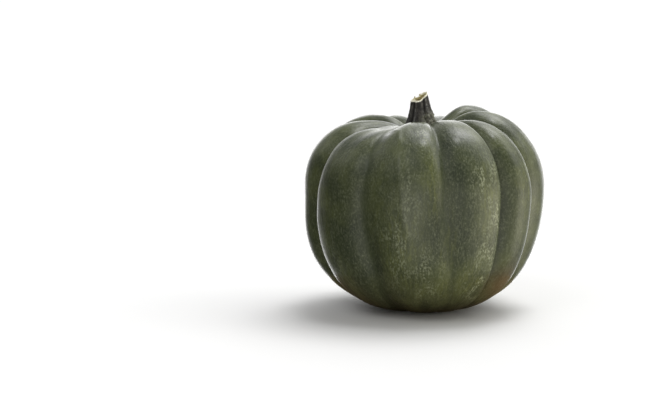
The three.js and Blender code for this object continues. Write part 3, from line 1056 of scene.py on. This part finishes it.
    def _shape_lobes(self, drawn: Array, outward: Array) -> tuple[Array, Array]:
        """Presses the lobes out of the spun body.

        Args:
            drawn: The spun body's points.
            outward: The direction that faces out of it at each.

        Returns:
            The place of each point round the fruit, counted in lobes, and the new points.
        """
        radius, azimuth = polar(drawn)
        height = drawn[:, 2].copy()
        turn = azimuth * len(self.lobes) / 360.0
        index = np.floor(turn).astype(int)
        first, last = self._crease_azimuth(index, height), self._crease_azimuth(index + 1, height)
        azimuth = mix(first, last, turn - index)
        away = drawn[:, :2] / np.maximum(radius, TINY)[:, None]
        outward_radial = (outward[:, :2] * away).sum(1)
        inset = self._inset(turn, radius, height) - self._folded(azimuth, radius, height)
        low_down = np.sin(np.pi * np.clip(height / self.equator_height, 0, 1)) ** 2
        clear_of_foot = ease(radius, self.foot_outer_radius, self.crest_radius)
        belly = self._blend_lobes("belly", turn) * low_down * clear_of_foot
        raised = height - outward[:, 2] * inset
        crest_rise = self._blend_lobes("crest", turn) - self.equator_height
        crest_share = crest_rise / (self.crest_height - self.equator_height)
        lift = mix(1.0, crest_share, ease(radius, self.seat_radius, self.crest_radius))
        above = np.maximum(raised - self.equator_height, 0.0)
        final = np.maximum(np.minimum(raised, self.equator_height) + above * lift, 0.0)
        points = around(radius + belly - outward_radial * inset, azimuth, final)
        points[:, 0] += self._axis_drift(final)
        return turn, points

    def _fit(self, skin: bpy.types.Object) -> None:
        """Moves the skin to where the frame's fruit is.

        Args:
            skin: The skin, which stands on the origin before.
        """
        points = points_of(skin)
        low, high = (np.array(corner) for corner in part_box("fruit"))
        shift = (low + high - points.min(0) - points.max(0)) / 2
        shift[2] = low[2] - points[:, 2].min()
        self.place = Vector(shift)
        put_points(skin, points + shift)

    def _note_growth(self, skin: bpy.types.Object, drawn: Array, turn: Array) -> None:
        """Notes on every point what the rind's finish reads.

        Args:
            skin: The skin.
            drawn: Its points before the lobes were pressed out.
            turn: The place of each round the fruit, counted in lobes.
        """
        points = points_of(skin)
        _, azimuth = polar(points - np.array([*self.place[:2], 0.0]))
        latitude = np.arctan2(drawn[:, 2] - self.equator_height, np.hypot(drawn[:, 0], drawn[:, 1]))
        drum = np.full(len(points), self.drum_radius)
        note(skin, Mark.GROWTH, around(drum, azimuth, latitude * self.drum_radius))
        note(skin, Mark.CREASE, np.abs(2 * (turn % 1.0) - 1))
        height = points[:, 2]
        for mark in (Mark.FLUSH, Mark.GROUND, Mark.SHADE, Mark.FROST):
            turned = np.zeros(len(points))
            for patch in (patch for patch in self.patches if patch.mark is mark):
                away = apart(azimuth, patch.azimuth)
                spot = hill(away, 0.0, patch.across) * hill(height, patch.height, patch.along)
                turned = np.maximum(turned, patch.strength * spot)
            note(skin, mark, turned)

    def _swell(self, skin: bpy.types.Object) -> None:
        """Gives the skin the slight unevenness of something grown.

        Args:
            skin: The skin.
        """
        cloud = bpy.data.textures.new("swell", "CLOUDS")
        cloud.noise_scale = self.swell_size
        cloud.noise_depth = 1
        pick(skin)
        bpy.ops.object.modifier_add(type="DISPLACE")
        displace = skin.modifiers[-1]
        displace.texture = cloud
        displace.texture_coords = "LOCAL"
        displace.strength = self.swell
        displace.mid_level = 0.5
        bpy.ops.object.modifier_apply(modifier=displace.name)
        points = points_of(skin)
        points[:, 2] = np.maximum(points[:, 2], 0.0)
        put_points(skin, points)


# --------------------------------------------------------------------------------------------------
# The stem
# --------------------------------------------------------------------------------------------------


@dataclass
class Stem:
    """The ribbed stem with its flared foot, the pale face of its cut and the fibres torn up behind it.

    Attributes:
        fruit: The fruit that it grows from.
        rib_azimuth: Where its front rib is at the foot.
        rib_turn: How far that rib has turned by the cut.
        fold_turn: How far the cut's fold is turned from the front.
    """

    fruit: Fruit
    height: float = 17 * MM
    curve_steps: int = 100
    flare_radius: float = 9.8 * MM
    neck_radius: float = 4.8 * MM
    flare_handle: tuple[float, float] = (8.2 * MM, 3.4 * MM)
    neck_handle: tuple[float, float] = (5.9 * MM, 9.4 * MM)
    root_depth: float = 1.6 * MM
    foot_x: float = -0.45 * MM
    lean: float = -1.3 * MM
    ribs: int = 5
    rib_share: float = 0.24
    rib_breadth: float = 0.55
    rib_mean: float = 0.78
    rib_azimuth: float = -13.0
    rib_turn: float = 10.0

    # the bark
    edge_offset: float = 20.0
    edge_width: float = 6.0
    groove_width: float = 8.0
    columns: int = 240
    rings: int = 72
    far_edge_share: float = 0.4
    skin_start: tuple[float, float] = (0.90, 0.98)
    wart_rise: float = 0.85 * MM
    wart_size: float = 2.1 * MM
    wart_azimuth: float = 60.0
    wart_side: tuple[float, float] = (0.1, 0.9)
    wart_top: tuple[float, float] = (0.25, 0.70)
    wart_green: float = 0.45
    bark_rise: float = 0.16 * MM
    bark_size: float = 0.9 * MM
    bark_stretch: float = 5.0

    # the slope of the cut
    fold_height: float = 16.3 * MM
    fold_x: float = -0.2 * MM
    fold_turn: float = 13.0
    fold_softness: float = 0.15 * MM
    steep_side: float = 0.74
    gentle_side: float = 0.14
    back_rise: float = 0.15
    raggedness: float = 0.35 * MM
    ragged_size: float = 1.1 * MM

    # the cut's face, and the socket in the bark that it is set in
    lip: float = 0.35 * MM
    lip_bare: float = 0.2
    socket_depth: float = 3.6 * MM
    plug_depth: float = 3.3 * MM
    plug_taper: float = 0.9
    plug_rings: int = 26
    bevel: float = 0.75 * MM
    bevel_start: float = 0.84
    pit_depth: float = 2.0 * MM
    pit_edge: tuple[float, float] = (0.62, 0.84)
    pit_left: float = -3.2 * MM
    pit_right: float = -0.6 * MM
    pith_mark: float = 0.6
    rim_overlap: float = 0.02
    crumb_rise: float = 0.55 * MM
    crumb_size: float = 0.8 * MM
    crumb_edge: tuple[float, float] = (0.75, 0.90)

    # the torn fibres
    fibres: int = 26
    fibre_azimuths: tuple[float, float] = (80.0, 235.0)
    fibre_reach: tuple[float, float] = (0.62, 0.95)
    fibre_radius: tuple[float, float] = (0.18 * MM, 0.42 * MM)
    fibre_height: tuple[float, float] = (0.8 * MM, 1.7 * MM)
    fibre_foot: float = 0.5 * MM
    fibre_sides: int = 6
    fibre_tip: float = 0.25
    fibre_tilt: float = 0.35
    fibre_mark: tuple[float, float] = (0.50, 0.95)
    seed: int = 7

    def _middle(self, rise: Array | float) -> tuple[Array, float]:
        """Returns where the stem's middle is along X and Y, at a share of its height."""
        foot = self.fruit.drift_crest + self.fruit.place.x + self.foot_x
        return foot + self.lean * np.asarray(rise, float), self.fruit.place.y

    def _seat(self) -> float:
        """Returns how high above the floor the stem's foot is."""
        return self.fruit.seat_height + self.fruit.place.z

    def _plant(self, piece: bpy.types.Object, local: Array, height: Array, rise: Array | float) -> None:
        """Moves a piece's points to where the stem stands on the fruit.

        Args:
            piece: The piece.
            local: Its new points, measured from the stem's middle.
            height: How high each is above the seat.
            rise: The share of the stem's height that each belongs to.
        """
        middle_x, middle_y = self._middle(rise)
        places = (local[:, 0] + middle_x, local[:, 1] + middle_y, height + self._seat())
        put_points(piece, np.column_stack(places))

    def _radius(self, rise: Array) -> Array:
        """Returns the stem's plain radius at shares of its height."""
        share = np.linspace(0, 1, self.curve_steps + 1)
        weights = ((1 - share) ** 3, 3 * (1 - share) ** 2 * share, 3 * (1 - share) * share**2, share**3)
        radii = (self.flare_radius, self.flare_handle[0], self.neck_handle[0], self.neck_radius)
        heights = (0.0, self.flare_handle[1], self.neck_handle[1], self.height)
        radius = sum(weight * value for weight, value in zip(weights, radii))
        height = sum(weight * value for weight, value in zip(weights, heights))
        return np.interp(rise, height / self.height, radius)

    def _from_rib(self, azimuth: Array, rise: Array) -> Array:
        """Returns how far places are from the middle of their rib, in degrees."""
        return apart(azimuth - self.rib_turn * rise, self.rib_azimuth, 360.0 / self.ribs)

    def _ribbed(self, radius: Array, azimuth: Array, rise: Array) -> Array:
        """Returns the radius with its ribs, where the plain stem has a radius."""
        across = np.radians(self._from_rib(azimuth, rise))
        rib = np.abs(np.cos(self.ribs * across / 2)) ** self.rib_breadth
        return radius * (1 + self.rib_share * (rib - self.rib_mean))

    def _cut_height(self, x: Array, y: Array) -> Array:
        """Returns the height of the cut above the seat, at places measured from the stem's middle.

        Args:
            x: Places to the right.
            y: Places to the back.
        """
        turn = math.radians(self.fold_turn)
        beyond = x * math.cos(turn) + y * math.sin(turn) - self.fold_x
        steep = (beyond + np.sqrt(beyond**2 + self.fold_softness**2)) / 2
        places = np.column_stack((np.ravel(x), np.ravel(y), np.full(np.size(x), self.height)))
        ragged = self.raggedness * unevenness(places, self.ragged_size).reshape(np.shape(x))
        folded = self.fold_height + self.steep_side * steep + self.gentle_side * (beyond - steep)
        return folded + self.back_rise * (y + self.neck_radius) + ragged

    def build_bark(self) -> bpy.types.Object:
        """Builds the stem's dark skin: a tube drawn up from the seat in rings, then ribbed and roughened.

        Returns:
            The bark.
        """
        deselect_all()
        bpy.ops.mesh.primitive_circle_add(
            vertices=self.columns, radius=self.flare_radius, location=(0, 0, 0)
        )
        bark = bpy.context.object
        bark.name = bark.data.name = "stem_bark"
        bpy.ops.object.mode_set(mode="EDIT")
        bpy.ops.mesh.select_all(action="SELECT")
        step = self.height / self.rings
        shares = np.linspace(0, 1, self.rings + 1)
        radii = self._radius(shares)
        for ring in range(self.rings):
            bpy.ops.mesh.extrude_region_move(TRANSFORM_OT_translate={"value": (0, 0, step)})
            ratio = float(radii[ring + 1] / radii[ring])
            bpy.ops.transform.resize(value=(ratio, ratio, 1), center_override=(0, 0, step * (ring + 1)))
        bpy.ops.mesh.extrude_region_move(TRANSFORM_OT_translate={"value": (0, 0, -self.lip)})
        ratio = 1 - self.lip / self.neck_radius
        bpy.ops.transform.resize(value=(ratio, ratio, 1), center_override=(0, 0, self.height))
        bpy.ops.mesh.extrude_region_move(TRANSFORM_OT_translate={"value": (0, 0, -self.socket_depth)})
        bpy.ops.mesh.edge_face_add()
        bpy.ops.mesh.select_all(action="DESELECT")
        bpy.ops.object.mode_set(mode="OBJECT")
        for vertex in bark.data.vertices:
            vertex.select = abs(vertex.co.z) < TOUCHING
        bpy.ops.object.mode_set(mode="EDIT")
        bpy.ops.mesh.extrude_region_move(TRANSFORM_OT_translate={"value": (0, 0, -self.root_depth)})
        bpy.ops.mesh.edge_face_add()
        face_outwards()
        bpy.ops.object.mode_set(mode="OBJECT")
        self._shape_bark(bark)
        smooth(bark)
        return bark

    def _shape_bark(self, bark: bpy.types.Object) -> None:
        """Ribs, leans and roughens the drawn tube, and brings its top to the cut.

        Args:
            bark: The plain tube, upright on the origin.
        """
        points = points_of(bark)
        radius, azimuth = polar(points)
        height = points[:, 2]
        rise = np.clip(height / self.height, 0, 1)
        outer = ease(radius / self._radius(rise), *self.skin_start)
        side = ease(np.cos(np.radians(azimuth - self.wart_azimuth)), *self.wart_side)
        low_down = (1 - ease(rise, *self.wart_top)) * side
        wart = lumps(points, self.wart_size) * low_down
        bark_wave = unevenness(points / np.array([1.0, 1.0, self.bark_stretch]), self.bark_size)
        relief = self.wart_rise * wart + self.bark_rise * bark_wave
        ribbed = self._ribbed(radius, azimuth, rise) + outer * relief
        local = around(ribbed, azimuth, height)
        cut = self._cut_height(local[:, 0], local[:, 1])
        z = np.where(height < 0, height, height * (cut - self.bevel) / self.height)
        self._plant(bark, local, z, rise)
        away = self._from_rib(azimuth, rise)
        # The ribs' edges, where the bark's finish paints highlights, the near edge more than the far one.
        near_edge = hill(away, -self.edge_offset, self.edge_width)
        far_edge = hill(away, self.edge_offset, self.edge_width)
        note(bark, Mark.RIDGE, near_edge + self.far_edge_share * far_edge)
        # The grooves' bottoms, where the bark's finish paints shade.
        note(bark, Mark.GROOVE, hill(np.abs(away), 180.0 / self.ribs, self.groove_width))
        note(bark, Mark.LUMP, low_down * mix(self.wart_green, 1.0, wart))

    def build_cut(self) -> bpy.types.Object:
        """Builds the pale face of the cut: a plug whose top dips to a pit of pith, with torn fibres behind.

        Returns:
            The cut face.
        """
        deselect_all()
        rim = self.neck_radius - self.lip_bare * self.lip
        bpy.ops.mesh.primitive_circle_add(vertices=self.columns, radius=rim, location=(0, 0, 0))
        cut = bpy.context.object
        cut.name = cut.data.name = "stem_cut_face"
        bpy.ops.object.mode_set(mode="EDIT")
        bpy.ops.mesh.select_all(action="SELECT")
        fill_with_rings(self.plug_rings)
        close_plug(-self.plug_depth, self.plug_taper)
        bpy.ops.object.mode_set(mode="OBJECT")
        self._shape_cut(cut, rim)
        self._add_fibres(cut)
        smooth(cut)
        return cut

    def _shape_cut(self, cut: bpy.types.Object, rim: float) -> None:
        """Ribs the flat plug like the bark, folds it along the cut, bevels its rim and sinks its pit.

        Args:
            cut: The flat plug, on the origin.
            rim: Its radius.
        """
        points = points_of(cut)
        radius, azimuth = polar(points)
        share = np.clip(radius / rim, 0, 1)
        ribbed = self._ribbed(radius, azimuth, np.ones(len(points)))
        local = around(ribbed, azimuth, points[:, 2])
        top = points[:, 2] > -self.plug_depth / 2
        hollow = ease(local[:, 0], self.pit_left, self.pit_right) * (1 - ease(share, *self.pit_edge))
        crumbs = self.crumb_rise * unevenness(local, self.crumb_size) * (1 - ease(share, *self.crumb_edge))
        bevelled = np.clip((share - self.bevel_start) / (1 - self.bevel_start), 0, 1)
        face = crumbs - self.pit_depth * hollow - self.bevel * bevelled
        z = self._cut_height(local[:, 0], local[:, 1]) + np.where(top, face, points[:, 2] - self.bevel)
        self._plant(cut, local, z, 1.0)
        inside = self.pith_mark * (1 - hollow)
        note(cut, Mark.RIM, np.where(share > self.bevel_start - self.rim_overlap, 1.0, inside))

    def _add_fibres(self, cut: bpy.types.Object) -> None:
        """Adds the torn fibres that stand up round the back of the cut.

        Args:
            cut: The cut face, which they are joined to.
        """
        chance = random.Random(self.seed)
        middle_x, middle_y = self._middle(1.0)
        slivers = []
        for _ in range(self.fibres):
            azimuth = chance.uniform(*self.fibre_azimuths)
            out = chance.uniform(*self.fibre_reach) * self.neck_radius
            thick = chance.uniform(*self.fibre_radius)
            tall = chance.uniform(*self.fibre_height)
            spot = around(np.array([out]), np.array([azimuth]), np.zeros(1))[0]
            foot = float(self._cut_height(spot[0], spot[1])) + self._seat() - self.fibre_foot
            tilts = [chance.uniform(-self.fibre_tilt, self.fibre_tilt) for _ in "xy"]
            bpy.ops.mesh.primitive_cone_add(
                vertices=self.fibre_sides,
                radius1=thick,
                radius2=self.fibre_tip * thick,
                depth=tall,
                location=(float(middle_x) + spot[0], middle_y + spot[1], foot + tall / 2),
                rotation=(*tilts, chance.uniform(0, math.pi)),
            )
            sliver = bpy.context.object
            note(sliver, Mark.RIM, np.full(len(sliver.data.vertices), chance.uniform(*self.fibre_mark)))
            slivers.append(sliver)
        deselect_all()
        for sliver in slivers:
            sliver.select_set(True)
        cut.select_set(True)
        bpy.context.view_layer.objects.active = cut
        bpy.ops.object.join()


@dataclass
class BlossomScar:
    """The corky button in the dimple under the fruit, where the flower was.

    Attributes:
        fruit: The fruit that it is on.
    """

    fruit: Fruit
    columns: int = 72
    rings: int = 14
    depth: float = 2.2 * MM
    proud: float = 0.25 * MM
    crack: float = 0.30 * MM
    cracks: int = 5
    crack_sharpness: int = 6
    eye_depth: float = 0.4 * MM
    eye_width: float = 0.22
    waver: float = 0.05

    def build(self) -> bpy.types.Object:
        """Builds the button as a rounded plug with a starred, cracked face.

        Returns:
            The button.
        """
        radius = self.fruit.scar_radius
        deselect_all()
        bpy.ops.mesh.primitive_circle_add(vertices=self.columns, radius=radius, location=(0, 0, 0))
        scar = bpy.context.object
        scar.name = scar.data.name = "blossom_scar"
        bpy.ops.object.mode_set(mode="EDIT")
        bpy.ops.mesh.select_all(action="SELECT")
        fill_with_rings(self.rings)
        close_plug(self.depth)
        bpy.ops.object.mode_set(mode="OBJECT")
        points = points_of(scar)
        out, azimuth = polar(points)
        share = np.clip(out / radius, 0, 1)
        low = points[:, 2] < self.depth / 2
        star = np.abs(np.cos(np.radians(azimuth) * self.cracks / 2)) ** self.crack_sharpness
        wave = 1 + self.waver * np.sin(3 * np.radians(azimuth) + 1.0)
        dome = self.proud * np.sqrt(1 - share**4)
        dent = self.crack * star * np.sin(np.pi * share) + self.eye_depth * hill(share, 0.0, self.eye_width)
        z = np.where(low, self.fruit.scar_height - dome + dent, points[:, 2] + self.fruit.scar_height)
        shaped = around(out * wave, azimuth, z)
        shaped[:, 0] += self.fruit.place.x + self.fruit.drift_foot
        shaped[:, 1] += self.fruit.place.y
        put_points(scar, shaped)
        smooth(scar)
        return scar


# --------------------------------------------------------------------------------------------------
# The studio
# --------------------------------------------------------------------------------------------------


@dataclass(frozen=True)
class Glow:
    """A soft patch of light, far away from the fruit.

    Attributes:
        name: What it is for.
        azimuth: Where its middle is round the fruit.
        elevation: How high its middle is, in degrees.
        tightness: How narrow it is: 5 lights half the room, 30 is a softbox overhead.
        level: How bright its middle is.
        tint: Its colour.
    """

    name: str
    azimuth: float
    elevation: float
    tightness: float
    level: float
    tint: Colour = (1.0, 1.0, 1.0)

    def direction(self) -> tuple[float, float, float]:
        """Returns the direction from the fruit to the middle of the glow."""
        azimuth, elevation = math.radians(self.azimuth), math.radians(self.elevation)
        level = math.cos(elevation)
        return (math.sin(azimuth) * level, -math.cos(azimuth) * level, math.sin(elevation))


@dataclass
class Studio:
    """The plain white studio that the squash is shown in."""

    floor_size: float = 24.0
    floor_colour: Colour = (0.93, 0.93, 0.93)
    mat_radius: float = 75 * MM
    mat_depth: float = 1 * MM
    mat_sides: int = 64
    mat_colour: Colour = (0.30, 0.21, 0.13)
    camera_distance: float = 1.2
    camera_elevation: float = 8.0
    look_height: float = 57 * MM
    aim: tuple[float, float, float] = (-54.5 * MM, 0.0, 58.4 * MM)
    lens: float = 110.77
    glows: tuple[Glow, ...] = (
        Glow("window, behind", 150, 62, 26, 7.0),
        Glow("window, on the right", 100, 40, 20, 2.2),
        Glow("window, on the left", 250, 40, 20, 0.75),
        Glow("ceiling", 105, 82, 150, 11.0),
        Glow("backdrop", 175, 5, 6, 2.2),
        Glow("front, high", 322, 50, 20, 1.7),
        Glow("table, behind", 190, -20, 12, 1.5),
        Glow("table, in front", 0, -12, 6, 1.75, (1.02, 1.0, 0.95)),
        Glow("table, on the right", 80, -12, 9, 3.1, (1.05, 1.0, 0.88)),
    )

    def build(self) -> None:
        """Lays the floor, fills the room with light and places the camera."""
        self._lay_floor()
        self._lay_mat()
        self._fill_room()
        self._place_camera()
        bpy.context.scene.view_settings.view_transform = "Standard"

    def _lay(self, piece: bpy.types.Object, name: str, colour: Colour) -> None:
        """Args:
            piece: The piece.
            name: Its name, and its finish's.
            colour: Its colour.
        """
        piece.name = name
        material, _, shader = blank_material(name)
        shader.inputs["Base Color"].default_value = (*colour, 1.0)
        shader.inputs["Roughness"].default_value = 1.0
        shader.inputs["Specular IOR Level"].default_value = 0.0
        piece.data.materials.append(material)

    def _lay_floor(self) -> None:
        """Lays a plain white floor, which takes the fruit's shadow and throws no light back onto it."""
        deselect_all()
        bpy.ops.mesh.primitive_plane_add(size=self.floor_size, location=(0, 0, 0))
        floor = bpy.context.object
        floor.visible_diffuse = False
        floor.visible_glossy = False
        floor.visible_shadow = False
        self._lay(floor, "floor", self.floor_colour)

    def _lay_mat(self) -> None:
        """Lays a brown mat under the floor, out of the camera's sight, to shade the fruit's underside."""
        deselect_all()
        place = (0, 0, -self.mat_depth)
        bpy.ops.mesh.primitive_circle_add(
            vertices=self.mat_sides, radius=self.mat_radius, location=place, fill_type="NGON"
        )
        mat = bpy.context.object
        mat.visible_camera = False
        self._lay(mat, "mat", self.mat_colour)

    def _fill_room(self) -> None:
        """Fills the room with the glows. To the camera the room itself is plain white."""
        world = bpy.data.worlds.new("studio")
        bpy.context.scene.world = world
        world.use_nodes = True
        sheet = Sheet(world.node_tree)
        facing = sheet.add("ShaderNodeTexCoord").outputs["Generated"]
        lit = None
        for glow in self.glows:
            both = {0: facing, 1: glow.direction()}
            near = sheet.add("ShaderNodeVectorMath", both, operation="DOT_PRODUCT").outputs["Value"]
            away = sheet.add("ShaderNodeMath", {0: near, 1: 1.0}, operation="SUBTRACT").outputs[0]
            fall = {0: away, 1: glow.tightness}
            drop = sheet.add("ShaderNodeMath", fall, operation="MULTIPLY").outputs[0]
            share = sheet.add("ShaderNodeMath", {0: drop}, operation="EXPONENT").outputs[0]
            colour = tuple(glow.level * part for part in glow.tint)
            patch = sheet.add("ShaderNodeVectorMath", {0: colour, 3: share}, operation="SCALE").outputs[0]
            patch_and_rest = {0: patch, 1: lit if lit is not None else (0.0, 0.0, 0.0)}
            lit = sheet.add("ShaderNodeVectorMath", patch_and_rest, operation="ADD").outputs[0]
        seen = sheet.add("ShaderNodeLightPath").outputs["Is Camera Ray"]
        colour = sheet.blend(seen, lit, (1.0, 1.0, 1.0))
        light = sheet.add("ShaderNodeBackground", {"Color": colour, "Strength": 1.0}).outputs[0]
        sheet.add("ShaderNodeOutputWorld", {"Surface": light})

    def _place_camera(self) -> None:
        """Places the camera in front of the fruit, a little above it, with the fruit on the right."""
        elevation = math.radians(self.camera_elevation)
        back = self.camera_distance * math.cos(elevation)
        up = self.look_height + self.camera_distance * math.sin(elevation)
        bpy.ops.object.camera_add(location=(0, -back, up))
        camera = bpy.context.object
        camera.name = "camera"
        camera.data.lens = self.lens
        aim = Vector(self.aim) - camera.location
        camera.rotation_euler = aim.to_track_quat("-Z", "Y").to_euler()
        bpy.context.scene.camera = camera


def main() -> None:
    """Builds the squash's pieces in order, then the studio, and reports each."""
    logging.basicConfig(level=logging.INFO, format="%(name)s %(message)s")
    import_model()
    effects = Effects()

    fruit = Fruit()
    hand_over(fruit.build(), RindFinish().material(effects), ["fruit"])
    stem = Stem(fruit)
    hand_over(stem.build_bark(), BarkFinish().material(effects), ["stem"])
    hand_over(stem.build_cut(), CutFinish().material(effects))
    hand_over(BlossomScar(fruit).build(), CorkFinish().material(effects))

    Studio().build()


if __name__ == "__main__":
    main()
